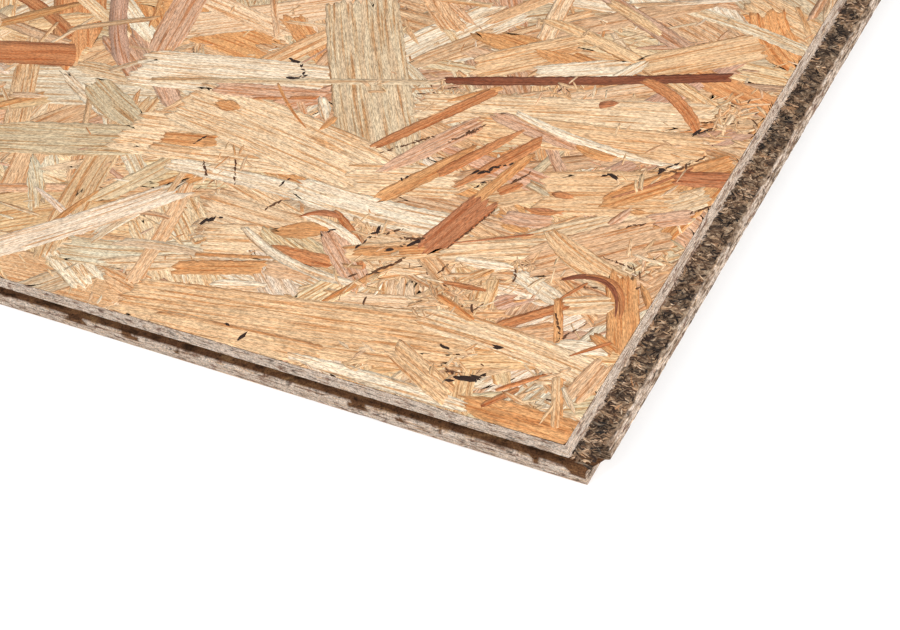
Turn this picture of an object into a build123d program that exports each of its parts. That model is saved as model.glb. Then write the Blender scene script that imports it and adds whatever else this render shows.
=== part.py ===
from build123d import *
import os

# One tongue-and-groove OSB flooring panel, lying flat with its sanded face up.
# +X runs along the long edge and +Z up. The origin is at the middle of the underside.
# Each long and each short edge is milled over its whole length, so one edge's cutter
# also trims the profile of the edge that it crosses.

# Sheet
cover_length = 2050.0  # upper lip to upper shoulder, along X
cover_width = 675.0  # upper lip to upper shoulder, along Y
thickness = 22.0

# Lips, which both edges share
upper_lip = 6.3  # above the groove and above the tongue
lower_lip = 5.2  # below the groove and below the tongue

# Tongue, on the right and back edges
tongue_reach = 8.2  # past the upper shoulder
lower_step = 2.0  # the lower shoulder stands this far past the upper one
nose_thickness = 5.6
nose_rise = 6.9  # underside of the nose, above the sheet's underside
nose_radius = 1.6
root_play = 0.15  # the tongue is thinner than the groove's mouth by this on each side

# Groove, on the front and left edges
groove_depth = 9.0  # behind the upper lip
lower_setback = 2.4  # the lower lip stands back by this, so that the faces close first
floor_height = 6.2  # height of the slot at its bottom
floor_rise = 6.45  # lower flank at the slot's bottom, above the sheet's underside
floor_radius = 1.0
lead_in = 0.8  # bevel on the lower lip's inner arris

overall_length = cover_length + tongue_reach
overall_width = cover_width + tongue_reach


def edge_profile(cover, overall):
    """Closed section across the sheet: groove at its low end, tongue at its high end."""
    start = -overall / 2
    shoulder = start + cover
    tip = start + overall
    floor = start + groove_depth
    slot_top = thickness - upper_lip
    groove = [
        (start, thickness),
        (start, slot_top),
        (floor, floor_rise + floor_height),
        (floor, floor_rise),
        (start + lower_setback + lead_in, lower_lip),
        (start + lower_setback, lower_lip - lead_in),
        (start + lower_setback, 0),
    ]
    tongue = [
        (shoulder + lower_step, 0),
        (shoulder + lower_step, lower_lip + root_play),
        (tip, nose_rise),
        (tip, nose_rise + nose_thickness),
        (shoulder, slot_top - root_play),
        (shoulder, thickness),
    ]
    return groove, tongue


def draw_section(plane, cover, overall):
    """The section as a face on its plane, with a round nose and a round slot bottom."""
    groove, tongue = edge_profile(cover, overall)
    floor_x = -overall / 2 + groove_depth
    with BuildSketch(plane) as section:
        with BuildLine():
            Polyline(*groove, *tongue, close=True)
        make_face()
        fillet(section.vertices().group_by(Axis.X)[-1], nose_radius)
        floor_corners = section.vertices().filter_by_position(Axis.X, floor_x - 0.1, floor_x + 0.1)
        fillet(floor_corners, floor_radius)
    return section.sketch


# Long edges: groove in front, tongue at the back
long_section = draw_section(Plane.YZ.offset(-overall_length / 2), cover_width, overall_width)
# Short edges: groove on the left, tongue on the right
short_section = draw_section(Plane.XZ.offset(-overall_width / 2), cover_length, overall_length)

with BuildPart() as osb_panel:
    extrude(long_section, amount=overall_length)
    extrude(short_section, amount=overall_width, mode=Mode.INTERSECT)

osb_panel.part.label = "osb_panel"

os.makedirs("parts", exist_ok=True)
export_step(osb_panel.part, "parts/osb_panel.step")

print("overall", overall_length, overall_width, thickness)
print("volume in litres", round(osb_panel.part.volume / 1e6, 3))
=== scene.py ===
import bpy
import math
import numpy as np
from mathutils import Matrix, Vector


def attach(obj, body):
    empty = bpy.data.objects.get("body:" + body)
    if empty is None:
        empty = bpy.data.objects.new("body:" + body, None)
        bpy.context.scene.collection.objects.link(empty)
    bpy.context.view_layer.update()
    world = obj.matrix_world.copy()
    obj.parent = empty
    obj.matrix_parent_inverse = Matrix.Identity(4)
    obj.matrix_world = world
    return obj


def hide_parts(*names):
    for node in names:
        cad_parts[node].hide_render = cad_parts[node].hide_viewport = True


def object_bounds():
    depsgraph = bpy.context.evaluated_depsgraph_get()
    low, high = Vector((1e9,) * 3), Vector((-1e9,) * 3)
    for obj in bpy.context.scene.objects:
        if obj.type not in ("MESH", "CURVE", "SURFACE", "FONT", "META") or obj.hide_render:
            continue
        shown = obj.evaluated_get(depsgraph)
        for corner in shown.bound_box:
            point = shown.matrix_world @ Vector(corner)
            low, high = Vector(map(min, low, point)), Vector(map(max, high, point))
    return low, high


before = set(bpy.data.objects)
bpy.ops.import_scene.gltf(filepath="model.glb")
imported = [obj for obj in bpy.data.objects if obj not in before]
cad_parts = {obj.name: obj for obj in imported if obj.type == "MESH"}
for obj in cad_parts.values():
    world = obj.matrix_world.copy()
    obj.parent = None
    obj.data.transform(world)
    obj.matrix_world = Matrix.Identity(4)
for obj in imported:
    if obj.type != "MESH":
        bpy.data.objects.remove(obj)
cad_low, cad_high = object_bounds()

# One tongue-and-groove OSB flooring panel, face up, seen over its front right corner.
# Strands are cut along the grain from softwood logs, dried, coated with resin and pressed,
# so both faces are a patchwork of flat strands, and the milled edges show them end on.

MM = 0.001
SEED = 20

# Sheet and joint, the same sizes as the CAD solid
TONGUE_REACH = 8.2 * MM
UPPER_LIP = 6.3 * MM
LOWER_LIP = 5.2 * MM
LOWER_STEP = 2.0 * MM
LOWER_SETBACK = 2.4 * MM
GROOVE_DEPTH = 9.0 * MM
LEFT = cad_low.x
RIGHT = cad_high.x - TONGUE_REACH
FRONT = cad_low.y
BACK = cad_high.y - TONGUE_REACH
TOP = cad_high.z
CORNER = np.array([RIGHT, FRONT])  # upper lip's corner, the one in the photograph

# Pressed surface
FACE_RELIEF = 0.26 * MM  # highest to lowest strand top
STRAND_WALL = 0.30 * MM  # how far a strand's rim goes down
RIM_WIDTH = 0.08 * MM
LEAST_DEPTH = 0.01 * MM  # highest strand top below the sheet's face
CORE_RECESS = 0.40 * MM  # core's face below the sheet's face, under the strands


# Colours and nodes

def linear(hex_colour):
    """An sRGB hex colour as linear red, green, blue and alpha."""
    parts = [int(hex_colour[i:i + 2], 16) / 255 for i in (1, 3, 5)]
    curve = [c / 12.92 if c <= 0.04045 else ((c + 0.055) / 1.055) ** 2.4 for c in parts]
    return (*curve, 1.0)


def add(tree, kind, inputs=None, stops=None, **settings):
    """One shader node with its settings, its inputs filled or linked, and its stops in hex or grey.
    An input may be a hex colour, a socket, or a node, which is linked by its first output."""
    node = tree.nodes.new("ShaderNode" + kind)
    for name, value in settings.items():
        setattr(node, name, value)
    for key, value in (inputs or {}).items():
        if isinstance(value, bpy.types.Node):
            value = value.outputs[0]
        if isinstance(value, bpy.types.NodeSocket):
            tree.links.new(value, node.inputs[key])
        else:
            node.inputs[key].default_value = linear(value) if isinstance(value, str) else value
    if stops:
        elements = node.color_ramp.elements
        while len(elements) < len(stops):
            elements.new(0.5)
        for element, (place, colour) in zip(elements, stops):
            element.position = place
            element.color = linear(colour) if isinstance(colour, str) else (colour, colour, colour, 1.0)
    return node


def new_material(name):
    """An empty node material, ready for a shader."""
    material = bpy.data.materials.new(name)
    material.use_nodes = True
    tree = material.node_tree
    tree.nodes.clear()
    return material, tree


# Woods of the strands, with how often each is met
WOODS = {
    "cream": ("#FBE9CD", 0.13),  # sapwood
    "straw": ("#F8DAB3", 0.22),
    "honey": ("#F1CA9D", 0.22),
    "tan": ("#EAC199", 0.13),
    "orange": ("#E4A971", 0.09),  # latewood
    "pinkish": ("#E3B899", 0.07),
    "rust": ("#D38F5D", 0.05),  # heartwood
    "olive": ("#E1C9A6", 0.05),  # weathered
    "red_brown": ("#C6835A", 0.025),
    "bark": ("#91563B", 0.015),
}
WOOD_NAMES = list(WOODS)
WOOD_SHARES = np.array([share for _, share in WOODS.values()])
WOOD_SHARES /= WOOD_SHARES.sum()
SHADED = {"void": "#38241A", "gap": "#6A462C"}  # painted shade at the bottoms of wide and of narrow gaps


def wood_colour(name):
    return np.array(linear(SHADED[name] if name in SHADED else WOODS[name][0])[:3])


# Noise for shapes

HASH_FACTORS = np.array([73856093, 19349663, 83492791])


def lattice(cells, seed):
    """A repeatable number from 0 to 1 for each row of whole numbers."""
    h = (cells * HASH_FACTORS).sum(axis=1) + seed * 2654435761
    h = (h ^ (h >> 13)) * 1274126177
    h = h ^ (h >> 16)
    return (h & 0xFFFFFF) / 0xFFFFFF


def lumps(points, size, seed):
    """Smooth noise from 0 to 1 at points, with lumps of the given size."""
    p = points / size
    base = np.floor(p).astype(np.int64)
    f = p - base
    f = f * f * (3 - 2 * f)
    total = np.zeros(len(points))
    for corner in np.ndindex(2, 2, 2):
        weight = np.prod(np.where(corner, f, 1 - f), axis=1)
        total += weight * lattice(base + np.array(corner), seed)
    return total


# Meshes of many strands

def into_scene(name, data):
    item = bpy.data.objects.new(name, data)
    bpy.context.scene.collection.objects.link(item)
    return item


def point_values(mesh, name, values, kind="FLOAT", field="value"):
    """A named value at each point of the mesh, for its material to read."""
    attribute = mesh.attributes.new(name, kind, "POINT")
    attribute.data.foreach_set(field, values.astype(np.float32).ravel())


def grid_quads(number):
    """The quads between rows and columns of numbered points."""
    corners = [number[:-1, :-1], number[1:, :-1], number[1:, 1:], number[:-1, 1:]]
    return np.stack(corners, axis=-1).reshape(-1, 4)


class StrandMesh:
    """Collects strands, then makes one mesh of them with their grain, wood and rim, which carries painted
    shade.
    """

    def __init__(self):
        self.places, self.quads, self.grains, self.woods, self.rims = [], [], [], [], []
        self.count = 0

    def take(self, places, quads, grain, wood, rim):
        self.places.append(places)
        self.quads.append(quads + self.count)
        self.grains.append(grain)
        self.woods.append(np.tile([*wood, 1.0], (len(places), 1)))
        self.rims.append(rim)
        self.count += len(places)

    def piece(self, name, material):
        mesh = bpy.data.meshes.new(name)
        places = np.concatenate(self.places)
        quads = np.concatenate(self.quads)
        mesh.vertices.add(len(places))
        mesh.vertices.foreach_set("co", places.astype(np.float32).ravel())
        mesh.loops.add(quads.size)
        mesh.loops.foreach_set("vertex_index", quads.astype(np.int32).ravel())
        mesh.polygons.add(len(quads))
        mesh.polygons.foreach_set("loop_start", np.arange(0, quads.size, 4, dtype=np.int32))
        mesh.update(calc_edges=True)
        point_values(mesh, "grain", np.concatenate(self.grains), "FLOAT_VECTOR", "vector")
        point_values(mesh, "wood", np.concatenate(self.woods), "FLOAT_COLOR", "color")
        point_values(mesh, "rim", np.concatenate(self.rims))
        mesh.materials.append(material)
        return into_scene(name, mesh)


POINTED = 0.45  # an end less full than this narrows from the middle on
MOST_TEAR = 3.0 * MM  # how far an end is torn, at most
SIDE_TEAR = 0.05  # the same of a side, as a share of the width
MOST_SIDE_TEAR = 0.35 * MM
MOST_EDGE_SHADE = 0.75  # painted shade along a strand's sides
GRID_STEPS = ((14.0, 8.0), (4.0, 3.4), (1.8, 1.2))  # millimetres along and across, for each fineness


class Strand:
    """A flat strand by its middle, direction, length and width, in metres and radians."""

    def __init__(self, middle, angle, length, width, wood, seed, bow=0.0, start=0.85, end=0.85, slant=0.0,
                 splinter=0.3):
        self.middle, self.angle = np.array(middle, float), angle
        self.length, self.width, self.wood, self.seed = length, width, wood, seed
        self.bow, self.start, self.end = bow, start, end
        self.slant, self.splinter = slant, splinter
        self.detail = detail_at(self)
        self.edge_shade = max(0.0, MOST_EDGE_SHADE * math.sin(seed * 1.7))

    def on_board(self, s, t):
        """Board x and y of a place s along the strand and t across it."""
        bent = t + self.bow * ((2 * s / self.length) ** 2 - 0.5)
        c, d = math.cos(self.angle), math.sin(self.angle)
        return np.stack([self.middle[0] + s * c - bent * d, self.middle[1] + s * d + bent * c], axis=-1)

    def fullness(self, u):
        """Share of the full width at u, from -0.5 at the start to 0.5 at the end."""
        tip = np.where(u < 0, self.start, self.end)
        return 1 - (1 - tip) * np.abs(2 * u) ** np.where(tip < POINTED, 2.0, 7.0)

    def grid(self):
        """Rows of (s, t) over the strand, with ragged sides and splintered ends."""
        draw = np.random.default_rng(self.seed)
        along, across = GRID_STEPS[self.detail]
        rows = max(3, int(self.length / (along * MM))) + 1
        columns = max(2, int(round(self.width / (across * MM)))) + 1
        v = np.linspace(-0.5, 0.5, columns)
        u = np.linspace(-0.5, 0.5, rows)
        slope = self.slant * self.width * v
        tears = draw.uniform(-1, 1, (2, columns)) * min(self.splinter * self.width, MOST_TEAR)
        start = -0.5 * self.length + slope + tears[0]
        end = 0.5 * self.length + slope + tears[1]
        s = start[None] + (end - start)[None] * (u[:, None] + 0.5)
        rough = draw.uniform(-1, 1, (rows, 2)) * np.minimum(SIDE_TEAR * self.width, MOST_SIDE_TEAR)
        half = 0.5 * self.width * self.fullness(u)
        low, high = -half + rough[:, 0], half + rough[:, 1]
        t = low[:, None] + (high - low)[:, None] * (v[None] + 0.5)
        return s, t

    def cover(self, spacing):
        """Board places all over the strand, for finding what lies under it."""
        s = np.arange(-0.49 * self.length, 0.49 * self.length + spacing / 2, spacing)
        t = np.arange(-0.48 * self.width, 0.48 * self.width + spacing / 2, spacing)
        ss, tt = np.meshgrid(s, t, indexing="ij")
        full = self.fullness(ss / self.length)
        return self.on_board(ss + self.slant * tt, tt * full).reshape(-1, 2)

    def well_inside(self, spacing, inset):
        """Board places that the strand covers for certain, whatever its torn ends are like."""
        tear = min(self.splinter * self.width, MOST_TEAR)
        back = tear + inset * math.hypot(1, self.slant)
        s = np.arange(-0.5 * self.length + back, 0.5 * self.length - back, spacing)
        half = 0.5 * self.width * self.fullness((s + np.sign(s) * back) / self.length) - inset
        s, half = s[half > 0, None], half[half > 0, None]
        v = np.linspace(-1, 1, int(self.width / spacing) + 2)[None]
        return self.on_board(s + self.slant * 0.5 * self.width * v, half * v).reshape(-1, 2)


def lay(mesh, strand, level, height, up, limits, pile):
    """Adds the strand to the mesh with its top at height, cut at the board's milled edges,
    without the faces that the pile hides."""
    s, t = (np.pad(side, 1, mode="edge") for side in strand.grid())
    s[0] -= RIM_WIDTH
    s[-1] += RIM_WIDTH
    t[:, 0] -= RIM_WIDTH
    t[:, -1] += RIM_WIDTH
    xy = strand.on_board(s, t).reshape(-1, 2)
    inside = ((xy >= limits[0]) & (xy <= limits[1])).all(axis=1)
    if not inside.any():
        return
    outer = np.ones(s.shape, bool)
    outer[1:-1, 1:-1] = False
    rims = outer.astype(float)
    # Painted shade: the rim ring darkest, and on wider strands the next rows in darkened by the strand's
    # edge shade, less on one side
    if s.shape[1] > 4:
        rims[1:-1, 1], rims[1:-1, -2] = strand.edge_shade, 0.6 * strand.edge_shade
    quads = grid_quads(np.arange(s.size).reshape(s.shape))
    if up < 0:
        quads = quads[:, ::-1]
    xy = np.clip(xy, limits[0], limits[1])
    quads = quads[inside[quads].any(axis=1)]
    quads = quads[~pile.hides(xy[quads], level, strand.detail)]
    if not len(quads):
        return
    used = np.unique(quads)
    renumber = np.zeros(s.size, int)
    renumber[used] = np.arange(len(used))
    grain = np.column_stack([s.ravel() / MM, t.ravel() / MM, np.full(s.size, strand.seed % 997)])
    places = np.column_stack([xy, np.where(outer.ravel(), height - up * STRAND_WALL, height)])
    mesh.take(places[used], renumber[quads], grain[used], strand.wood, rims.ravel()[used])


QUARTERS = np.linspace(0, 1, 5)
PROBES = np.array([
    [(1 - u) * (1 - v), u * (1 - v), u * v, (1 - u) * v] for u in QUARTERS for v in QUARTERS
])  # weights of a quad's corners at 25 places in it


class Pile:
    """Counts how many strands lie over each spot, so that each new one goes on top."""

    CELL = 1.2 * MM
    LID_CELL = 0.6 * MM
    LID_SPACING = 0.7 * LID_CELL
    LID_INSET = 1.3 * MM  # a lid ends this far inside its strand
    LID_REACH = (4, 2, 1)  # how many lid cells a quad may stray, for each fineness

    def __init__(self, low, high):
        self.low = np.array(low)
        self.size = np.ceil((np.array(high) - self.low) / self.CELL).astype(int)
        self.levels = np.zeros(self.size, int)
        self.roof = np.zeros(self.size * 2, np.int16)  # highest level that covers all of a lid cell

    def put(self, strand):
        """Lays the strand on the highest one that it meets, and gives its level."""
        cells = np.floor((strand.cover(self.CELL) - self.low) / self.CELL).astype(int)
        cells = tuple(cells[((cells >= 0) & (cells < self.size)).all(axis=1)].T)
        if not len(cells[0]):
            return 1
        level = self.levels[cells].max() + 1
        self.levels[cells] = level
        self.roof[self.lid_cells(strand.well_inside(self.LID_SPACING, self.LID_INSET))] = level
        return level

    def lid_cells(self, places):
        cells = np.floor((places - self.low) / self.LID_CELL).astype(int)
        cells = np.clip(cells, 0, np.array(self.roof.shape) - 1)
        return cells[..., 0], cells[..., 1]

    def close(self):
        """Lids for each fineness: the lowest roof within reach, and what lies below it is hidden."""
        self.lids = []
        for reach in self.LID_REACH:
            lowest = self.roof
            for axis in (0, 1):
                turned = [np.roll(lowest, k, axis) for k in range(-reach, reach + 1)]
                lowest = np.min(turned, axis=0)
            self.lids.append(lowest)

    def hides(self, corners, level, detail):
        """Which quads of a level lie wholly under higher strands, tried at 25 places of each."""
        return (self.lids[detail][self.lid_cells(PROBES @ corners)] > level).all(axis=1)


FACE_LOW = np.array([LEFT, FRONT])
FACE_HIGH = np.array([RIGHT, BACK])
PHOTO_REACH = np.array([255, 195]) * MM  # what the photograph shows, from the corner
NEAR_REACH = 460 * MM


def detail_at(strand):
    """Mesh fineness: 2 in the photographed part of the face, 1 round it, 0 elsewhere."""
    c, d = abs(math.cos(strand.angle)), abs(math.sin(strand.angle))
    reach = 0.5 * np.array([strand.length * c + strand.width * d, strand.length * d + strand.width * c])
    away = np.abs(strand.middle - CORNER) - reach
    if (away < PHOTO_REACH).all():
        return 2
    return 1 if (away < NEAR_REACH).all() else 0


# Sizes of strands: lengths and widths in millimetres, and how far they turn from the board's length
BROAD = ((60, 130), (10, 30), 0.5)
MIDDLING = ((30, 100), (4, 14), 0.6)
SLIVER = ((12, 45), (1.0, 4.0), 0.8)
CHIP = ((2, 8), (0.5, 1.9), 1.2)
ANY_WAY = 0.3  # share of strands that lie in any direction
FILLED = 0.8  # of the box round a strand
DARKEST_NEAR = 0.38  # the photographed part has no darker strands than those listed below
DARKEST_CRUMB = 0.2  # no darker crumb lies on the listed strands
DARK_CRUMBS = 0.18  # share of fines that are small gaps, painted in a gap's shade


def strand_for(draw, low, high, size):
    """A strand of one of the sizes at a random place, in random wood."""
    lengths, widths, spread = size
    angle = draw.normal(0, spread)
    if draw.random() < ANY_WAY:
        angle = draw.uniform(-math.pi / 2, math.pi / 2)
    length = draw.uniform(*lengths) * MM
    width = draw.uniform(widths[0] ** 0.5, widths[1] ** 0.5) ** 2 * MM
    wood = wood_colour(WOOD_NAMES[draw.choice(len(WOODS), p=WOOD_SHARES)])
    wood = wood * draw.uniform(0.84, 1.06) * draw.uniform(0.97, 1.03, 3)
    start, end = 1 - draw.uniform(0.0, 1.0, 2) ** 2 * 0.9
    strand = Strand(
        draw.uniform(low, high), angle, length, width, np.clip(wood, 0, 1), int(draw.integers(1, 10 ** 9)),
        bow=draw.normal(0, 0.025) * length, start=start, end=end, slant=draw.normal(0, 0.6),
        splinter=draw.uniform(0.1, 0.6),
    )
    if strand.detail == 2 and wood.mean() < DARKEST_NEAR:
        strand.wood = 0.2 * strand.wood + 0.8 * wood_colour("honey")
    return strand


def scatter(draw, low, high, share, size):
    """Enough strands of one size to cover the share of the area from low to high."""
    lengths, widths, _ = size
    each = (lengths[0] + lengths[1]) / 2 * (widths[0] + widths[1]) / 2 * MM * MM * FILLED
    area = (high[0] - low[0]) * (high[1] - low[1])
    return [strand_for(draw, low, high, size) for _ in range(int(share * area / each))]


def fill_beneath(draw, strands, low, high, size):
    """Strands for the lowest layer, wherever the others leave the core bare."""
    pile = Pile(low, high)
    for strand in strands:
        pile.put(strand)
    added = []
    bare = np.argwhere(pile.levels == 0)
    draw.shuffle(bare)
    for i, j in bare:
        if pile.levels[i, j]:
            continue
        spot = pile.low + (np.array([i, j]) + 0.5) * Pile.CELL
        strand = strand_for(draw, spot, spot, size)
        strand.start, strand.end = 0.8, 0.8
        pile.put(strand)
        added.append(strand)
    return added


def crumbs(draw, x, y, radius, count):
    """A patch of fines: short torn bits pressed in every direction. Millimetres from the corner."""
    bits = []
    for _ in range(count):
        spot = CORNER + (np.array([x, y]) + draw.normal(0, 0.5, 2) * radius) * MM
        bit = strand_for(draw, spot, spot, CHIP)
        bit.wood = 0.5 * bit.wood + 0.5 * wood_colour("honey")
        # Some bits are small gaps, painted in a gap's shade
        if draw.random() < DARK_CRUMBS:
            bit.wood = wood_colour("gap")
            bit.width *= 0.45
            bit.length *= 0.6
        bits.append(bit)
    return bits


# Patches of fines seen in the photograph: x, y, radius and how many bits
CRUMB_PATCHES = dict(
    swirls_left=(-185, 75, 12, 60),
    behind_the_grey_strand=(-150, 135, 10, 30),
    below_the_diamond=(-100, 44, 13, 70),
    left_of_the_red_strand=(-112, 66, 9, 50),
    middle_white_patch=(-63, 42, 13, 80),
    above_the_curl=(-42, 62, 12, 70),
    middle_front=(-52, 18, 10, 60),
    near_the_corner=(-16, 18, 8, 50),
    right_of_middle=(-30, 118, 16, 90),
    far_right=(-12, 150, 14, 80),
    below_the_dark_strip=(-75, 148, 12, 50),
    left_of_the_dark_strip=(-125, 132, 10, 40),
    right_edge=(-10, 80, 9, 50),
    front_edge=(-80, 12, 8, 40),
)

# Strands that stand out in the photograph, the later over the earlier. Each has x and y of its start
# and of its end, in millimetres from the upper lip's corner, its width, its wood, how full its start
# and its end are, and its bow.
SEEN = dict(
    pale_band=(-262, 118, -172, 128, 22, "cream", 0.9, 0.8),
    left_straw=(-240, 84, -150, 92, 26, "straw", 0.9, 0.9),
    far_grey_green=(-188, 178, -123, 92, 31, "olive", 0.95, 0.9, 1),
    big_straw=(-226, 106, -108, 84, 27, "straw", 0.8, 0.9, -2),
    pinkish_white=(-218, 115, -168, 121, 8, "pinkish", 0.7, 0.6),
    thin_olive=(-250, 112, -122, 141, 3.2, "olive", 0.9, 0.7),
    orange_blotch=(-212, 107, -200, 106, 6, "orange", 0.3, 0.2),
    small_orange=(-183, 117, -171, 120, 2.4, "rust", 0.8, 0.9),
    thin_orange=(-198, 113, -186, 116, 1.6, "rust", 0.5, 0.9),
    orange_thread=(-193, 123, -166, 103, 1.3, "orange", 0.6, 0.3, 1),
    cream_oval=(-170, 121, -160, 110, 5.2, "cream", 0.2, 0.2),
    orange_tip=(-159, 104, -157, 112, 3.2, "orange", 0.3, 0.6),
    left_orange=(-222, 83, -198, 87, 7, "orange", 0.9, 0.8),
    left_rusty_tail=(-224, 78, -200, 80, 4, "honey", 0.9, 0.5),
    far_honey=(-118, 150, -84, 172, 16, "honey", 0.9, 0.8),
    far_orange_wedge=(-98, 166, -62, 158, 8, "orange", 0.3, 1.0),
    far_pale=(-92, 152, -60, 164, 12, "cream", 0.9, 0.8),
    white_wedge=(-60, 159, -54, 170, 6, "cream", 1.0, 0.1),
    right_far_honey=(-52, 166, -16, 188, 16, "honey", 0.9, 0.9),
    wide_straw=(-128, 126, -20, 146, 15, "straw", 0.9, 0.9),
    wide_straw_low=(-104, 121, -12, 130, 15, "honey", 0.8, 0.9),
    pink_under_white=(-96, 129, -58, 120, 7, "pinkish", 0.5, 0.4),
    white_long=(-89, 130, -18, 119, 3.8, "cream", 0.6, 0.4, 3),
    orange_curl=(-59, 121, -42, 118, 4.2, "orange", 0.3, 0.6, 1),
    red_wedge=(-60, 143, -54, 146, 4, "red_brown", 1.0, 0.1),
    dark_strip=(-125, 141, -20, 168, 4.9, "bark", 0.7, 1.0, 1),
    bent_orange=(-49, 161, -19, 140, 4.6, "rust", 0.9, 0.5, -3),
    left_of_strip=(-118, 131, -101, 143, 3.0, "orange", 0.2, 0.7),
    cream_run=(-210, 72, -128, 71, 7.5, "cream", 0.8, 0.8, -2),
    cream_run_end=(-150, 73, -78, 71, 13, "cream", 0.7, 0.7, 2),
    straw_middle=(-132, 84, -92, 92, 16, "straw", 0.8, 0.8),
    pinkish_brown=(-123, 90, -99, 124, 9, "pinkish", 0.4, 0.9),
    orange_lower=(-116, 77, -93, 109, 8, "orange", 0.5, 0.9),
    brown_edge=(-101, 94, -81, 124, 5, "rust", 0.7, 0.2),
    rust_lower=(-91, 91, -72, 120, 6, "rust", 0.3, 0.8),
    orange_side=(-81, 84, -72, 112, 5, "orange", 0.8, 0.5),
    orange_bar=(-133, 101, -103, 140, 5.6, "rust", 0.5, 0.9),
    rust_chip=(-74, 92, -69, 98, 4.6, "rust", 0.7, 0.8),
    right_honey=(-60, 96, -14, 108, 22, "honey", 0.9, 0.9),
    right_orange=(-37, 97, -2, 127, 10, "orange", 0.5, 0.9),
    right_rust_line=(-34, 100, -13, 121, 1.4, "red_brown", 0.5, 0.6, 1),
    right_block=(-18, 115, 2, 119, 7.2, "red_brown", 0.9, 1.0),
    grey_chip=(-66, 99, -56, 96, 4.5, "olive", 0.8, 0.3),
    pink_chip=(-55, 97, -47, 97, 3.2, "rust", 0.5, 0.4),
    pink_brown_patch=(-67, 82, -49, 84, 6.5, "pinkish", 0.6, 0.5, 1),
    pink_brown_line=(-60, 88, -47, 89, 1.3, "red_brown", 0.5, 0.3, -1),
    swirl_arm=(-29, 88, -25, 97, 4.0, "pinkish", 0.6, 0.4),
    swirl_eye=(-25, 96, -20, 97, 3.0, "orange", 0.3, 0.3),
    pale_pink_patch=(-16, 94, -4, 100, 7.0, "pinkish", 0.7, 0.7),
    pale_block=(-170, 40, -150, 45, 17, "straw", 1.0, 1.0),
    left_rust=(-172, 25, -138, 35, 6.8, "orange", 1.0, 0.9),
    left_rust_line=(-168, 33, -134, 41, 1.8, "orange", 1.0, 0.3),
    left_white=(-153, 23, -132, 28, 3.8, "cream", 0.5, 0.4),
    under_diamond=(-144, 44, -115, 44, 6, "rust", 0.4, 0.7),
    diamond=(-146, 52, -125, 58, 8.5, "orange", 0.05, 0.2),
    tan_patch=(-137, 35, -118, 37, 7, "tan", 0.9, 0.4),
    steep_pink=(-126, 58, -98, 38, 9.2, "pinkish", 0.7, 0.8),
    steep_orange=(-128, 68, -102, 46, 3.6, "rust", 0.4, 0.7, -2),
    cream_curve=(-158, 48, -102, 36, 3.8, "cream", 0.6, 0.5, 4),
    cream_curve_far=(-139, 63, -109, 55, 3.4, "cream", 0.5, 0.7, -2),
    brown_arc=(-140, 62, -125, 66, 2.8, "red_brown", 0.3, 0.5, -2),
    middle_honey=(-112, 50, -40, 77, 9, "honey", 0.8, 0.8),
    middle_orange=(-110, 51, -52, 72, 4.5, "orange", 0.7, 0.5),
    middle_pale=(-80, 60, -34, 76, 10, "straw", 0.8, 0.8),
    white_patch=(-72, 59, -51, 61, 4.5, "cream", 0.4, 0.3),
    rusty_streak=(-73, 48, -55, 49, 2.2, "rust", 0.3, 0.4),
    speckled_grey=(-49, 59, -29, 52, 6, "cream", 0.7, 0.5),
    brown_line_middle=(-78, 65, -52, 77, 1.1, "red_brown", 0.4, 0.5),
    red_block=(-85, 59, -77, 86, 12.5, "red_brown", 0.5, 0.9),
    narrow_orange=(-108, 27, -92, 51, 3.5, "orange", 0.3, 0.3),
    front_straw_edge=(-160, 15, -62, 34, 5, "straw", 0.9, 0.6),
    front_orange=(-182, 5, -48, 24, 24, "honey", 0.9, 0.6),
    front_orange_low=(-165, 1, -96, 6, 10, "honey", 0.9, 0.7),
    front_cream=(-106, 3, -36, 3, 5.5, "cream", 0.4, 0.5),
    steep_tan=(-72, 17, -44, 5, 8.5, "honey", 0.9, 0.9),
    broad_pink=(-46, 64, -10, 90, 19, "tan", 0.8, 0.9),
    honey_fan=(-48, 79, -12, 64, 9.5, "honey", 0.4, 0.8, 2),
    right_tall_orange=(-15, 69, 1, 38, 10.5, "orange", 0.7, 0.9),
    pale_inside_curl=(-28, 50, -12, 56, 8, "straw", 0.8, 0.6),
    pink_arc=(-62, 87, -47, 89, 2.3, "rust", 0.3, 0.4, 2),
    brown_middle=(-45, 35, -26, 51, 4.2, "rust", 0.5, 0.8),
    tan_beside_bar=(-42, 30, -24, 40, 9, "tan", 0.8, 0.8),
    upright_bar=(-30, 53, -5, 5, 3.1, "orange", 0.9, 0.9),
    cream_small=(-21, 35, -4, 38, 5.5, "cream", 0.7, 0.8),
    orange_by_cream=(-12, 42, -2, 38, 4, "orange", 0.6, 0.8),
    cream_big=(-72, 33, 3, 27, 11, "straw", 0.5, 0.9, -2),
    brown_thread=(-15, 32, -5, 41, 1.5, "rust", 0.3, 0.8),
    knot_branch=(-24, 62, -30, 52, 1.3, "rust", 0.6, 0.3),
    knot_outer=(-30, 66, -5, 55, 2.8, "rust", 0.6, 0.6, -8),
    knot_line=(-33, 61, -26, 65, 1.9, "bark", 0.4, 0.8),
    knot_hook=(-31, 65, -7, 55, 1.8, "bark", 0.6, 0.4, -8),
    orange_wedge=(-7, 67, 1, 58, 2.6, "orange", 0.1, 1.0),
    orange_left_middle=(-70, 42, -53, 36, 3.4, "orange", 0.5, 0.5),
    corner_orange=(-38, 4, 3, 4, 11, "orange", 0.4, 1.0),
    corner_tan=(-6, 17, -3, 33, 8.5, "tan", 0.8, 0.8),
    orange_streak=(-32, 5, -24, 15, 2.5, "rust", 0.5, 0.8),
    orange_streak_far=(-31, 12, -17, 24, 1.7, "rust", 0.5, 0.3),
    upright_bar_low=(-15, 23, -6, 5, 2.8, "honey", 0.8, 0.9),
    cream_tip=(-11, 20, -3, 12, 1.9, "cream", 0.9, 0.1),
)
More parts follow.
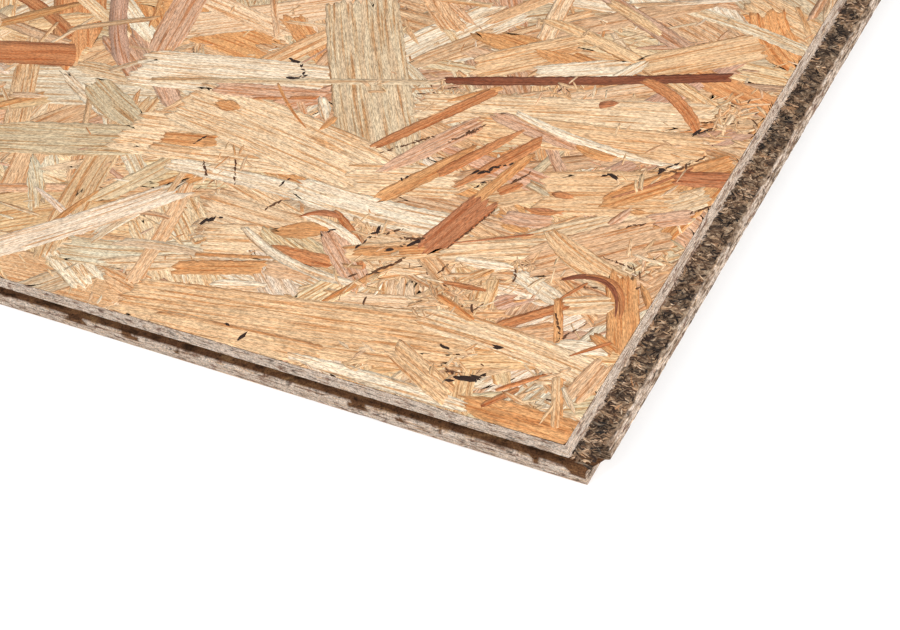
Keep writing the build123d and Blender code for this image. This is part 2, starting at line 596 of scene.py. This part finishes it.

# Gaps and dark bits seen in the photograph, laid last and painted in the shade of a gap: x and y of start
# and end, and width
GAPS = dict(
    left_gap=(-181, 62, -177, 67, 1.6),
    left_gap_low=(-178, 46, -170, 52, 1.7),
    left_rim=(-206, 84, -204, 88, 1.4),
    by_pale_band_a=(-196, 138, -190, 136, 1.8),
    by_pale_band_b=(-189, 128, -184, 130, 1.6),
    swirl_a=(-196, 76, -190, 70, 0.8),
    swirl_b=(-183, 80, -175, 68, 0.8),
    by_the_bar_a=(-128, 99, -113, 112, 0.9),
    by_the_bar_b=(-106, 110, -97, 122, 1.0),
    below_pinkish=(-113, 88, -111, 90, 1.4),
    red_gap_a=(-87, 99, -76, 107, 2.0),
    red_gap_b=(-84, 92, -81, 96, 1.2),
    red_gap_c=(-73, 96, -68, 104, 1.0),
    dark_chip=(-42, 110, -37, 111, 1.6),
    red_block_side=(-71, 84, -78, 63, 0.6),
    swirl_gap=(-25, 88, -18, 92, 0.9),
    fan_pins=(-24, 74, -11, 72, 0.6),
    tick=(-48, 56, -50, 61, 0.8),
    tick_left=(-75, 52, -74, 56, 0.9),
    white_end_gap=(-24, 116, -20, 122, 1.2),
    right_gap=(-20, 117, -12, 127, 0.8),
    left_of_diamond=(-128, 54, -124, 58, 1.2),
    arch_side=(-110, 53, -107, 64, 1.3),
    arch_a=(-106, 60, -99, 66, 1.1),
    arch_b=(-98, 56, -90, 62, 1.6),
    arch_c=(-97, 62, -88, 64, 1.0),
    above_narrow=(-99, 43, -90, 54, 1.1),
    small_hole=(-105, 41, -103, 42, 1.0),
    knot_front=(-126, 2, -126, 5, 2.4),
    pin_front=(-136, 8, -135, 8, 1.2),
    dark_by_the_run=(-157, 73, -156, 77, 1.3),
    dark_below_the_run=(-155, 61, -152, 66, 1.0),
    by_pale_band_c=(-191, 136, -186, 132, 1.8),
    blotch_a=(-58, 23, -55, 22, 1.2),
    blotch_b=(-41, 27, -39, 28, 1.5),
    long_void_a=(-47, 11, -43, 13, 2.2),
    long_void_b=(-43, 13, -40, 14, 1.8),
    long_void_c=(-40, 15, -37, 16, 1.7),
    void_tail=(-51, 15, -48, 14, 0.9),
    front_pin=(-53, 6, -51, 6, 1.2),
    inside_the_hook=(-26, 60, -20, 61, 0.8),
    beside_bar=(-27, 46, -22, 39, 0.7),
    inside_corner=(-22, 36, -16, 46, 0.8),
    pin_right=(-7, 65, -6, 66, 1.0),
    strip_end_gap=(-20, 138, -16, 141, 1.4),
    right_line=(-6, 100, 0, 106, 0.6),
)

WIDE_GAP = 1.1  # a wider gap is painted in the darker shade of a void, as seen dark to its bottom
GAP_SKIPS = 0.22  # share of a gap's patches left out, so that it is broken
GAP_STRAY = 0.22  # how far patches stray from its line, as a share of its width


def seen_strand(number, x, y, end_x, end_y, width, wood, start, end, bow=0):
    near, far = np.array([x, y], float), np.array([end_x, end_y], float)
    run = (far - near) * MM
    return Strand(
        CORNER + (near + far) / 2 * MM, math.atan2(run[1], run[0]), float(np.hypot(*run)), width * MM,
        wood_colour(wood), 1000 + number, bow=bow * MM, start=start, end=end,
        slant=0.25 * math.sin(number), splinter=0.22,
    )


def ragged_gap(draw, x, y, end_x, end_y, width):
    """A gap as a row of uneven patches painted in its shade, in millimetres from the corner."""
    start, end = np.array([x, y], float), np.array([end_x, end_y], float)
    run = end - start
    shade = wood_colour("void" if width > WIDE_GAP else "gap")
    patches = []
    for share in np.linspace(0, 1, max(2, round(float(np.hypot(*run)) / (0.8 * width)))):
        if draw.random() < GAP_SKIPS:
            continue
        wide = width * draw.uniform(0.3, 1.1)
        spot = start + share * run + draw.normal(0, GAP_STRAY, 2) * width
        angle = math.atan2(run[1], run[0]) + draw.normal(0, 0.45)
        length = wide * draw.uniform(1.2, 3.2) * MM
        patches.append(Strand(
            CORNER + spot * MM, angle, length, wide * MM, shade, int(draw.integers(1, 10 ** 9)),
            start=0.6, end=0.6, splinter=0.6,
        ))
    return patches


def top_strands():
    """The show face's strands from the lowest to the highest."""
    draw = np.random.default_rng(SEED)
    broad = scatter(draw, FACE_LOW, FACE_HIGH, 1.0, BROAD)
    mixed = []
    for size, share in ((BROAD, 0.5), (MIDDLING, 0.8), (SLIVER, 0.07)):
        mixed += scatter(draw, FACE_LOW, FACE_HIGH, share, size)
    near_low, near_high = CORNER - [NEAR_REACH, 0], CORNER + [0, NEAR_REACH]
    mixed += scatter(draw, near_low, near_high, 0.06, CHIP)
    draw.shuffle(mixed)
    bits = [bit for patch in CRUMB_PATCHES.values() for bit in crumbs(draw, *patch)]
    gaps = [patch for gap in GAPS.values() for patch in ragged_gap(draw, *gap)]
    draw.shuffle(bits)
    mixed = [s for s in mixed if s.detail == 2 or s.length > CHIP[0][1] * MM]
    upper = [b for b in bits[:len(bits) // 4] if b.wood.mean() > DARKEST_CRUMB]
    lower = bits[len(bits) // 4:]
    seen = [seen_strand(k, *row) for k, row in enumerate(SEEN.values())]
    strands = broad + mixed + lower + seen + upper + gaps
    return fill_beneath(draw, strands, FACE_LOW, FACE_HIGH, BROAD) + strands


def underside_strands():
    """The underside's strands, coarse, since it lies on the floor."""
    draw = np.random.default_rng(SEED + 1)
    high = FACE_HIGH + LOWER_STEP
    strands = []
    for size, share in ((BROAD, 1.0), (MIDDLING, 0.1)):
        strands += scatter(draw, FACE_LOW, high, share, size)
    strands = fill_beneath(draw, strands, FACE_LOW, high, BROAD) + strands
    for strand in strands:
        strand.detail = 0
    return strands


def press(strands, groups, face, up, limits, names, material):
    """Stacks the strands, presses the pile into FACE_RELIEF and makes the pieces."""
    pile = Pile(*limits)
    levels = np.array([pile.put(s) for s in strands])
    pile.close()
    step = FACE_RELIEF / levels.max()
    meshes = [StrandMesh() for _ in names]
    for strand, level, group in zip(strands, levels, groups):
        depth = (levels.max() - level) * step + LEAST_DEPTH
        lay(meshes[group], strand, level, face - up * depth, up, limits, pile)
    return [m.piece(n, material) for m, n in zip(meshes, names)]


# Materials

MIX_SHARE, MIX_FROM, MIX_TO, MIX_RESULT = 0, 6, 7, 2  # a Mix node's sockets for colours
WOOD_IOR = 1.5
RING_WANDER = 9.0  # millimetres, across the strand
CLOSEST_RINGS, RING_SPREAD = 1.3, 4.5  # millimetres


def stretched_noise(tree, place, stretch, detail, roughness=0.5):
    """Noise with lumps drawn out along an axis: stretch is how many go in a unit of each axis."""
    place = add(tree, "VectorMath", {0: place, 1: stretch}, operation="MULTIPLY")
    return add(tree, "TexNoise", {"Vector": place, "Scale": 1.0, "Detail": detail, "Roughness": roughness})


def toned(tree, colour, patterns):
    """The colour made darker and lighter by each pattern in turn, and the patterns' own tones.
    A pattern comes with the values at which its dark and light are full, and both tones."""
    tones = []
    for pattern, dark, light, darkest, lightest in patterns:
        span = {"From Min": dark, "From Max": light, "To Min": darkest, "To Max": lightest}
        tones.append(add(tree, "MapRange", {"Value": pattern, **span}))
        colour = add(tree, "VectorMath", {0: colour, 3: tones[-1]}, operation="SCALE")
    return colour, tones


def bare_wood(tree, colour, roughness, shine, relief=None):
    """Unfinished wood: dry and hardly shiny, with a relief where one is given."""
    surface = {"Base Color": colour, "Roughness": roughness, "IOR": WOOD_IOR, "Specular IOR Level": shine}
    if relief:
        surface["Normal"] = relief
    shader = add(tree, "BsdfPrincipled", surface)
    add(tree, "OutputMaterial", {"Surface": shader})


def strand_material(name):
    """Softwood strands, knife-cut, pressed hot and lightly sanded: dry, satin and streaked.
    Their grain is in millimetres along and across each strand, with its own third number."""
    material, tree = new_material(name)
    grain = add(tree, "Attribute", attribute_name="grain").outputs["Vector"]
    wood = add(tree, "Attribute", attribute_name="wood").outputs["Color"]
    rim = add(tree, "Attribute", attribute_name="rim").outputs["Fac"]
    # Growth rings run along the strand and wander, each strand's at its own spacing
    wander = stretched_noise(tree, grain, (0.018, 0.07, 1.7), 2.0)
    axes = add(tree, "SeparateXYZ", {0: grain})
    across = add(tree, "Math", {0: wander, 1: RING_WANDER, 2: axes.outputs["Y"]}, operation="MULTIPLY_ADD")
    pitch = add(tree, "Math", {0: axes.outputs["Z"], 1: 0.37}, operation="MULTIPLY")
    pitch = add(tree, "Math", {0: pitch}, operation="FRACT")
    pitch = add(tree, "Math", {0: pitch, 1: RING_SPREAD, 2: CLOSEST_RINGS}, operation="MULTIPLY_ADD")
    ring = add(tree, "Math", {0: across, 1: pitch}, operation="DIVIDE")
    ring = add(tree, "Math", {0: ring}, operation="FRACT")
    latewood = add(tree, "ValToRGB", {0: ring}, [(0.0, 1.0), (0.4, 0.94), (0.82, 0.76), (0.95, 0.96)])
    # Ring darkening keeps the red, so it turns honey, not grey
    warm = {MIX_SHARE: latewood, MIX_FROM: "#D79A5E", MIX_TO: "#FFFFFF"}
    rings = add(tree, "Mix", warm, data_type="RGBA").outputs[MIX_RESULT]
    # Fibres half a millimetre wide, a little coarser than real so that they show
    fibre = stretched_noise(tree, grain, (0.09, 2.2, 3.1), 3.0, 0.7)
    # Streaks a millimetre wide, where the knife crossed late wood at a slant
    streak = stretched_noise(tree, grain, (0.035, 1.0, 4.3), 2.0)
    streak_stops = [(0.34, "#DFBD9D"), (0.45, "#F5EBE0"), (0.54, 0.99), (0.68, 1.08)]
    streaks = add(tree, "ValToRGB", {0: streak}, streak_stops)
    # Resin canals, and splits painted dark with the shade inside them: short dark dashes
    dash = stretched_noise(tree, grain, (0.35, 2.6, 5.3), 1.0)
    # Cut cells and dust, a quarter of a millimetre wide
    dust = stretched_noise(tree, grain, (0.55, 3.6, 1.9), 2.0, 0.7)
    # Uneven resin and heat, in patches of 9 mm
    place = add(tree, "TexCoord").outputs["Object"]
    blotch = add(tree, "TexNoise", {"Vector": place, "Scale": 110.0, "Detail": 4.0, "Roughness": 0.6})
    colour = add(tree, "VectorMath", {0: wood, 1: rings}, operation="MULTIPLY")
    colour = add(tree, "VectorMath", {0: colour, 1: streaks}, operation="MULTIPLY")
    # The rim carries painted shade: a strand's rim and sides darkened, down to 0.42 at its wall's foot
    colour, tones = toned(tree, colour, [
        (fibre, 0.3, 0.7, 0.78, 1.13), (dash, 0.24, 0.33, 0.55, 1.0), (dust, 0.37, 0.63, 0.56, 1.31),
        (blotch, 0.3, 0.7, 0.9, 1.08), (rim, 0.0, 1.0, 1.0, 0.42),
    ])
    height = add(tree, "Math", {0: tones[0], 1: tones[1]}, operation="MULTIPLY")
    relief = add(tree, "Bump", {"Height": height, "Distance": 0.08 * MM, "Strength": 0.6})
    bare_wood(tree, colour, 0.62, 0.3, relief)
    return material


def milled_material():
    """Strand ends and sides cut by a milling cutter: pale, fuzzy and speckled, in layers under a
    millimetre thick. The slot is brown, scorched by the cutter and painted darker as the shade inside it,
    and the tongue's flanks are torn."""
    material, tree = new_material("milled_strand_ends")
    place = add(tree, "TexCoord").outputs["Object"]
    scorch_and_shade = add(tree, "Attribute", attribute_name="scorch_and_shade").outputs["Fac"]
    torn = add(tree, "Attribute", attribute_name="torn").outputs["Fac"]
    # Layers 0.5 mm thick and about 8 mm long, which sag a little
    sag = add(tree, "TexNoise", {"Vector": place, "Scale": 70.0, "Detail": 2.0}).outputs["Color"]
    sag = add(tree, "VectorMath", {0: sag, 1: (0.0, 0.0, 3.0)}, operation="MULTIPLY")
    flat = {0: place, 1: (120.0, 120.0, 2000.0), 2: sag}
    layered = add(tree, "VectorMath", flat, operation="MULTIPLY_ADD")
    layer = add(tree, "TexNoise", {"Vector": layered, "Scale": 1.0, "Detail": 2.0})
    pales = [(0.32, "#90705A"), (0.42, "#C9B09B"), (0.55, "#E6D5C5"), (0.68, "#D6B391")]
    browns = [(0.30, "#3F2814"), (0.45, "#6B482F"), (0.6, "#7E5839"), (0.75, "#94704B")]
    pale, brown = (add(tree, "ValToRGB", {0: layer}, stops) for stops in (pales, browns))
    # Fibre ends and dust, 0.4 to 0.7 mm, and torn pits, 0.8 to 2.4 mm, the pits painted dark with their
    # shade
    grit = stretched_noise(tree, place, (1500.0, 1500.0, 2600.0), 3.0, 0.8)
    pit = stretched_noise(tree, place, (420.0, 420.0, 1300.0), 3.0)
    roughs = [(0.30, "#2E1E13"), (0.45, "#6E5743"), (0.55, "#8D745D"), (0.7, "#B59E85")]
    rough = add(tree, "ValToRGB", {0: pit}, roughs)
    # Dark strand ends and torn-out bits, 1.6 to 4 mm long
    spot = stretched_noise(tree, place, (260.0, 260.0, 620.0), 3.0)
    span = {"From Min": 0.56, "From Max": 0.68, "To Min": 0.0, "To Max": 0.8}
    dark = add(tree, "MapRange", {"Value": spot, **span})
    colour = pale
    # Slot brown mixed in last: the cutter's scorch and painted shade inside the slot
    for share, other in ((dark, "#7A5342"), (torn, rough), (scorch_and_shade, brown)):
        mix = {MIX_SHARE: share, MIX_FROM: colour, MIX_TO: other}
        colour = add(tree, "Mix", mix, data_type="RGBA").outputs[MIX_RESULT]
    # The pits darken the colour to as little as 0.38: painted shade in them
    colour, tones = toned(tree, colour, [(grit, 0.34, 0.60, 0.42, 1.24), (pit, 0.32, 0.44, 0.38, 1.0)])
    height = add(tree, "Math", {0: tones[0], 1: tones[1]}, operation="ADD")
    relief = add(tree, "Bump", {"Height": height, "Distance": 0.25 * MM, "Strength": 0.7})
    bare_wood(tree, colour, 0.85, 0.2, relief)
    return material


def core_material():
    """Core strands dark with resin, which show only down in the gaps of the two faces."""
    material, tree = new_material("resin_dark_core_strands")
    place = add(tree, "TexCoord").outputs["Object"]
    patch = add(tree, "TexNoise", {"Vector": place, "Scale": 260.0, "Detail": 4.0, "Roughness": 0.7})
    resin = [(0.3, "#2E1D12"), (0.5, "#5E412B"), (0.6, "#7F5B3C"), (0.7, "#A07850")]
    colour = add(tree, "ValToRGB", {0: patch}, resin)
    bare_wood(tree, colour, 0.85, 0.2)
    return material


def floor_material():
    """Painted paper sweep, matt. To the camera it is white, and it keeps the board's shadow."""
    material, tree = new_material("matt_white_paper_sweep")
    path = add(tree, "LightPath")
    diffuse = add(tree, "BsdfDiffuse", {"Color": "#F4F4F4", "Roughness": 0.9})
    glow = add(tree, "Emission", {"Color": "#FFFFFF", "Strength": 0.10})
    lit = add(tree, "AddShader", {0: diffuse, 1: glow})
    mix = add(tree, "MixShader", {0: path.outputs["Is Camera Ray"], 1: diffuse, 2: lit})
    add(tree, "OutputMaterial", {"Surface": mix})
    return material


# The milled body

SLOT_TOP = TOP - UPPER_LIP
SLOT_FLOOR_TOP, SLOT_FLOOR_LOW = 12.65 * MM, 6.45 * MM
LEAD_IN = 0.8 * MM
NOSE_TOP, NOSE_LOW = 12.5 * MM, 6.9 * MM
NOSE_RADIUS = 1.6 * MM
NOSE_BEVEL, NOSE_SLIP = 0.6 * MM, 0.1 * MM  # the nose's rounding, drawn as two slopes
ROOT_PLAY = 0.15 * MM

# How far each edge's face stands out at a height, from the sheet's face down to its underside
GROOVE_LINE = [
    (TOP, 0), (SLOT_TOP, 0), (SLOT_FLOOR_TOP, -GROOVE_DEPTH), (SLOT_FLOOR_LOW, -GROOVE_DEPTH),
    (LOWER_LIP, -LOWER_SETBACK - LEAD_IN), (LOWER_LIP - LEAD_IN, -LOWER_SETBACK), (0, -LOWER_SETBACK),
]
TONGUE_LINE = [
    (TOP, 0), (SLOT_TOP - ROOT_PLAY, 0),
    (NOSE_TOP, TONGUE_REACH - NOSE_BEVEL), (NOSE_TOP - NOSE_BEVEL, TONGUE_REACH - NOSE_SLIP),
    (NOSE_TOP - NOSE_RADIUS, TONGUE_REACH), (NOSE_LOW + NOSE_RADIUS, TONGUE_REACH),
    (NOSE_LOW + NOSE_BEVEL, TONGUE_REACH - NOSE_SLIP), (NOSE_LOW, TONGUE_REACH - NOSE_BEVEL),
    (LOWER_LIP + ROOT_PLAY, LOWER_STEP), (0, LOWER_STEP),
]

NOTCH, NOTCH_DEPTH, NOTCH_LOW = 5 * MM, 1.2 * MM, 3.4 * MM  # brown bites by the lower lip
ROUGH, TORN_ROUGH, NOSE_ROUGH = 0.12, 0.30, 0.32  # relief of the milled faces in millimetres
MOST_PROUD = 0.04 * MM  # how far that relief stands out of the face
HEIGHT_STEP = 0.45 * MM
CLOSE_RUN = 300 * MM  # of each edge from the photographed corner, drawn in finer steps
CLOSE_STEP, FAR_STEP = 1.2 * MM, 8 * MM


def stands_out(line, heights):
    """The line's reach at each height."""
    up = sorted(line)
    return np.interp(heights, [z for z, _ in up], [reach for _, reach in up])


def spread_over(marks, step):
    """The marks, with even places between them no more than a step apart."""
    places = []
    for a, b in zip(marks[:-1], marks[1:]):
        places += list(np.linspace(a, b, max(1, math.ceil(abs(b - a) / step)), endpoint=False))
    return np.array(places + [marks[-1]])


def ring_places(length):
    """Fractions along an edge, closely spaced at the photographed corner."""
    close = np.arange(0, CLOSE_RUN, CLOSE_STEP)
    return np.concatenate([close, np.arange(CLOSE_RUN, length, FAR_STEP), [length]]) / length


def ease(value, low, high):
    """0 below low, 1 above high and smooth between."""
    share = np.clip((value - low) / (high - low), 0, 1)
    return share * share * (3 - 2 * share)


def lumpy(places, size, seed):
    """Lumps at places that stand in rows."""
    return lumps(places.reshape(-1, 3), size, seed).reshape(places.shape[:-1])


def slot_scorch_and_shade(places, reach, ragged, groove_side):
    """How brown the slot is painted, as the cutter's scorch and as painted shade: its roof, its inner part
    and notches by the lower lip.
    """
    height = places[..., 2]
    in_slot = (height < SLOT_TOP) & groove_side
    notches = ease(lumpy(places * [1, 1, 0], NOTCH, 4), 0.80, 0.88)
    at_end = ease(places[..., 0], RIGHT - 6 * MM, RIGHT - 2 * MM)
    early = NOTCH_DEPTH * np.maximum(at_end, notches) * (height > NOTCH_LOW)
    inner = ease(reach + 0.15 * ragged + early, 3.25 * MM, 3.5 * MM)
    roof = in_slot & (height > SLOT_FLOOR_TOP)
    return np.where(roof, ease(reach, 0.3 * MM, 1.5 * MM), np.where(in_slot, inner, 0))


def milled_core(material, hidden):
    """The sheet between its strand faces: a rectangle at each height, with rough milled faces."""
    marks = sorted({z for z, _ in GROOVE_LINE + TONGUE_LINE} - {0, TOP}, reverse=True)
    heights = spread_over([TOP - CORE_RECESS, *marks, CORE_RECESS], HEIGHT_STEP)
    groove, tongue = stands_out(GROOVE_LINE, heights), stands_out(TONGUE_LINE, heights)
    x_low, x_high = LEFT - groove, RIGHT + tongue
    y_low, y_high = FRONT - groove, BACK + tongue
    front, right = 1 - ring_places(RIGHT - LEFT)[::-1], ring_places(BACK - FRONT)
    ring = [(u, 0.0) for u in front[:-1]] + [(1.0, v) for v in right[:-1]]
    ring += [(u, 1.0) for u in front[:0:-1]] + [(0.0, v) for v in right[:0:-1]]
    ring = np.array(ring)
    x = x_low[:, None] + ring[None, :, 0] * (x_high - x_low)[:, None]
    y = y_low[:, None] + ring[None, :, 1] * (y_high - y_low)[:, None]
    z = np.repeat(heights[:, None], len(ring), axis=1)
    places = np.stack([x, y, z], axis=-1)
    groove_side = ((ring[:, 1] == 0) | (ring[:, 0] == 0))[None]
    reach = np.where(groove_side, -groove[:, None], tongue[:, None])
    ragged = (lumpy(places, 3 * MM, 3) - 0.5) * 2.5 * MM
    # Slot brown: cutter scorch and painted shade
    scorch_and_shade = slot_scorch_and_shade(places, reach, ragged, groove_side)
    # The cutter tears the tongue's two flanks
    frayed = reach + 0.3 * ragged
    flank = ease(frayed, 0.2 * MM, 0.7 * MM) * (1 - ease(frayed, 7.2 * MM, 7.9 * MM))
    torn = np.where(groove_side | (heights < LOWER_LIP)[:, None], 0, flank)
    # The groove's cutter also cuts the tongue off at the corner, and there the end is torn too
    past_face = (places[..., :2] > FACE_HIGH + 0.3 * MM).any(axis=-1)
    tongue_end = groove_side & past_face & (heights > SLOT_FLOOR_LOW)[:, None]
    torn = np.where(tongue_end, 1, torn)
    scorch_and_shade = np.where(tongue_end, 0, scorch_and_shade)
    # Rough faces: layers stand out or are torn back, more so on the flanks
    coarse = lumpy(places, np.array([6, 6, 0.9]) * MM, 5)
    small = lumpy(places, np.array([1.6, 1.6, 0.6]) * MM, 6)
    nose = ease(reach, 6.8 * MM, 7.8 * MM) * ~groove_side
    shoulder = (heights < LOWER_LIP)[:, None] * ~groove_side
    speckled = 0.95 * ease(0.6 * small + 0.4 * coarse, 0.47, 0.62) * (nose + shoulder)
    torn = np.maximum(torn, speckled)
    depth = (ROUGH + TORN_ROUGH * torn + NOSE_ROUGH * nose) * MM * (0.9 * coarse + 0.9 * small - 1.0)
    outward = (ring == 1).astype(float) - (ring == 0)
    places[..., :2] += np.minimum(depth, MOST_PROUD)[..., None] * outward[None]
    places[..., 2] += torn * (small - 0.5) * 0.5 * MM
    number = np.arange(reach.size).reshape(reach.shape)
    quads = grid_quads(np.column_stack([number, number[:, 0]]))
    faces = quads.tolist() + [list(number[0]), list(number[-1])[::-1]]
    mesh = bpy.data.meshes.new("milled_core")
    mesh.from_pydata(places.reshape(-1, 3).tolist(), [], faces)
    mesh.materials.append(material)
    mesh.materials.append(hidden)
    indices = np.zeros(len(faces), np.int32)
    indices[-2:] = 1
    mesh.polygons.foreach_set("material_index", indices)
    point_values(mesh, "scorch_and_shade", scorch_and_shade)
    point_values(mesh, "torn", torn)
    mesh.update()
    return into_scene("milled_core", mesh)


FIBRE_COLOURS = ["#C9B095", "#A68C70", "#8D745D", "#6E5743", "#4A3525", "#2E1E13"]
FIBRE_SHARES = [0.13, 0.19, 0.19, 0.17, 0.16, 0.16]
FIBRES_CLOSE, FIBRES_FAR = 1.1, 0.2  # on each square millimetre of the flank
FAR_FIBRE = 1.6  # fibres away from the corner are larger, as they are fewer


def torn_fibres(material):
    """Curved splinters that the cutter tore up on the upper flanks of both tongues."""
    draw = np.random.default_rng(SEED + 2)
    mesh = StrandMesh()
    slope_end = TONGUE_REACH - 0.7 * MM
    root = SLOT_TOP - ROOT_PLAY
    fall = np.array([slope_end, -(root - NOSE_TOP)])
    fall = fall / np.hypot(*fall)
    u = np.linspace(-1, 1, 5)
    quads = grid_quads(np.arange(15).reshape(5, 3))
    for edge, run, close in (("right", BACK - FRONT, CLOSE_RUN), ("back", RIGHT - LEFT, 0)):
        near_area, far_area = close * slope_end / MM ** 2, (run - close) * slope_end / MM ** 2
        near = draw.uniform(0, close, int(FIBRES_CLOSE * near_area))
        far = draw.uniform(close, run, int(FIBRES_FAR * far_area))
        for spot in (*near, *far):
            larger = 1 if spot < close else FAR_FIBRE
            size = draw.uniform(0.6, 2.4) * MM * larger
            wide = draw.uniform(0.16, 0.50) * MM * larger
            turn = draw.normal(0.35, 0.6)
            c, d = math.cos(turn), math.sin(turn)
            bow = draw.normal(0, 0.2) * size
            down = draw.uniform(0.2 * MM, slope_end)
            lift = draw.uniform(0.05, 0.35) * MM + draw.uniform(0, 0.35) * MM * u * draw.choice([-1, 1])
            # a runs along the tongue, b down its flank and rise off it, at the sides and the middle
            a = spot + u * size * d + bow * (u * u - 0.5) * c
            b = down + u * size * c - bow * (u * u - 0.5) * d
            side = wide * (1 - 0.8 * u * u)
            a = np.stack([a - side * c, a, a + side * c], axis=1)
            b = np.clip(np.stack([b + side * d, b, b - side * d], axis=1), 0.1 * MM, slope_end)
            rise = np.stack([lift - 0.6 * wide, lift, lift - 0.6 * wide], axis=1)
            reach = b * fall[0] - rise * fall[1]
            z = root + b * fall[1] + rise * fall[0]
            if edge == "right":
                facing, places = quads, (RIGHT + reach, np.clip(FRONT + a, FRONT, BACK), z)
            else:
                facing, places = quads[:, ::-1], (np.clip(LEFT + a, LEFT, RIGHT), BACK + reach, z)
            across = np.tile([-1.0, 0.0, 1.0], 5) * wide / MM
            grain = np.column_stack([np.repeat(u * size / MM, 3), across, np.full(15, spot / MM % 97)])
            colour = FIBRE_COLOURS[draw.choice(len(FIBRE_COLOURS), p=FIBRE_SHARES)]
            lit = lumps(np.array([[spot, down, 0]]), 3.5 * MM, 8)[0]
            wood = np.array(linear(colour)[:3]) * (0.30 + 0.85 * ease(lit, 0.32, 0.58))
            places = np.stack(places, axis=-1).reshape(-1, 3)
            mesh.take(places, facing, grain, wood, np.zeros(15))
    return mesh.piece("torn_fibres", material)


# The camera of the photograph, from its vanishing points

CAMERA_FROM_CORNER = Vector((208.8, -245.9, 402.6)) * MM  # from the corner's foot on the floor
SIGHT_AZIMUTH, SIGHT_ELEVATION, SIGHT_ROLL = 43.82, 44.30, -19.08
FOCAL_LENGTH, SENSOR = 66.92, 36.0  # millimetres
NEAREST_SEEN = 10 * MM


def photograph_camera():
    azimuth, elevation, roll = (math.radians(a) for a in (SIGHT_AZIMUTH, SIGHT_ELEVATION, SIGHT_ROLL))
    flat = math.cos(elevation)
    back = Vector((math.sin(azimuth) * flat, -math.cos(azimuth) * flat, math.sin(elevation)))
    level = Vector((0, 0, 1)).cross(back).normalized()
    upright = back.cross(level)
    right = math.cos(roll) * level + math.sin(roll) * upright
    up = -math.sin(roll) * level + math.cos(roll) * upright
    data = bpy.data.cameras.new("camera")
    data.lens = FOCAL_LENGTH
    data.sensor_width = SENSOR
    data.clip_start = NEAREST_SEEN
    camera = into_scene("camera", data)
    stand = Matrix((right, up, back)).transposed().to_4x4()
    x, y, z = CAMERA_FROM_CORNER
    stand.translation = (RIGHT + x, FRONT + y, z)
    camera.matrix_world = stand
    bpy.context.scene.camera = camera


# Each softbox by its place, what it faces, its size in metres and its watts
SOFTBOXES = {
    "key": ((-1.6, -3.4, 3.6), (0.4, -0.2, 0), (2.6, 2.6), 90),
    "fill": ((4.4, -1.4, 2.4), (0.6, -0.1, 0), (2.4, 2.4), 175),
}
FLOOR_HALF = 14.0  # metres
FLOOR_DROP = 0.5 * MM  # keeps the floor clear of the underside's strands
SURROUND = 0.5  # how strongly the pale surround lights the board


def studio():
    """White sweep under the board, two soft lamps and a pale surround."""
    mesh = bpy.data.meshes.new("floor")
    low, high = -FLOOR_HALF, FLOOR_HALF
    corners = [(low, low, 0), (high, low, 0), (high, high, 0), (low, high, 0)]
    mesh.from_pydata(corners, [], [(0, 1, 2, 3)])
    mesh.materials.append(floor_material())
    floor = into_scene("floor", mesh)
    floor.location.z = -FLOOR_DROP
    for name, (place, aim, size, watts) in SOFTBOXES.items():
        data = bpy.data.lights.new(name, "AREA")
        data.shape = "RECTANGLE"
        data.size, data.size_y = size
        data.energy = watts
        lamp = into_scene(name, data)
        lamp.location = place
        lamp.rotation_euler = (Vector(aim) - Vector(place)).to_track_quat("-Z", "Y").to_euler()
    world = bpy.data.worlds.new("pale_surround")
    world.use_nodes = True
    tree = world.node_tree
    tree.nodes.clear()
    path = add(tree, "LightPath")
    light = add(tree, "Background", {"Color": "#FFFFFF", "Strength": SURROUND})
    seen = add(tree, "Background", {"Color": "#FFFFFF", "Strength": 1.0})
    mix = add(tree, "MixShader", {0: path.outputs["Is Camera Ray"], 1: light, 2: seen})
    add(tree, "OutputWorld", {"Surface": mix})
    bpy.context.scene.world = world


def finish_piece(piece, *nodes):
    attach(piece, "root")
    if nodes:
        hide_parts(*nodes)


photograph_camera()
studio()

pine = strand_material("knife_cut_pine_strands_pressed")
core = milled_core(milled_material(), core_material())
finish_piece(core, "osb_panel")
finish_piece(torn_fibres(strand_material("torn_pine_fibres")))

# The fine strands of the show face's corner and the coarse ones of the rest, in two pieces each
names = [f"show_face_strands_{part}_{half}" for part in ("corner", "far") for half in "ab"]
limits = (FACE_LOW, FACE_HIGH)
strands = top_strands()
groups = [(i % 2) + (0 if s.detail else 2) for i, s in enumerate(strands)]
for piece in press(strands, groups, TOP, 1, limits, names, pine):
    finish_piece(piece)

under_limits = (FACE_LOW + LOWER_SETBACK, FACE_HIGH + LOWER_STEP)
strands = underside_strands()
for piece in press(strands, [0] * len(strands), 0.0, -1, under_limits, ["underside_strands"], pine):
    finish_piece(piece)

bpy.context.scene.view_settings.view_transform = "Standard"
